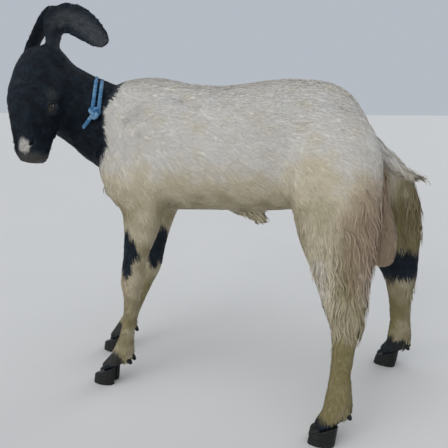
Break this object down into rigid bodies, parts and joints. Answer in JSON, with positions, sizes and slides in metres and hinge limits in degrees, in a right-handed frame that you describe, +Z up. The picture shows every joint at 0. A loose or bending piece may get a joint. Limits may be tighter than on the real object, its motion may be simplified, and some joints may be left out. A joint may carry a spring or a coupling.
{
  "type": "young long-eared buck goat, still model",
  "caption": "Life-size still model of a young long-eared buck goat, black head and neck, creamy body, standing with its head turned, in a rope collar.",
  "frame": {"origin": "on the floor, under the middle of the whole model's box", "axes": "+Z up, -X the way the body faces, -Y its left side, to which the head is turned"},
  "size_m": [0.7856, 0.372, 0.7638],
  "materials": {
    "black_coat": "short black coat",
    "white_coat": "creamy white coat",
    "yellowed_coat": "white coat stained yellow",
    "bare_skin": "thinly haired pinkish skin",
    "hoof_horn": "dark horn",
    "eye_surface": "wet amber eye",
    "rope": "laid light blue rope"
  },
  "bodies": {
    "root": {"collar_knot": "rope", "collar_turn_front": "rope", "collar_turn_rear": "rope", "ear_left": "black_coat", "ear_right": "black_coat", "eye_left": "eye_surface", "eye_right": "eye_surface", "foreleg_left_claw_a": "hoof_horn", "foreleg_left_claw_b": "hoof_horn", "foreleg_left_dewclaw_a": "hoof_horn", "foreleg_left_dewclaw_b": "hoof_horn", "foreleg_left_lower": "yellowed_coat", "foreleg_left_upper": "white_coat", "foreleg_right_claw_a": "hoof_horn", "foreleg_right_claw_b": "hoof_horn", "foreleg_right_dewclaw_a": "hoof_horn", "foreleg_right_dewclaw_b": "hoof_horn", "foreleg_right_lower": "yellowed_coat", "foreleg_right_upper": "white_coat", "head": "black_coat", "hind_leg_left_claw_a": "hoof_horn", "hind_leg_left_claw_b": "hoof_horn", "hind_leg_left_dewclaw_a": "hoof_horn", "hind_leg_left_dewclaw_b": "hoof_horn", "hind_leg_left_lower": "yellowed_coat", "hind_leg_left_upper": "white_coat", "hind_leg_right_claw_a": "hoof_horn", "hind_leg_right_claw_b": "hoof_horn", "hind_leg_right_dewclaw_a": "hoof_horn", "hind_leg_right_dewclaw_b": "hoof_horn", "hind_leg_right_lower": "yellowed_coat", "hind_leg_right_upper": "white_coat", "lower_jaw": "black_coat", "neck": "black_coat", "scrotum": "bare_skin", "tail": "white_coat", "trunk": "white_coat"}
  },
  "joints": []
}
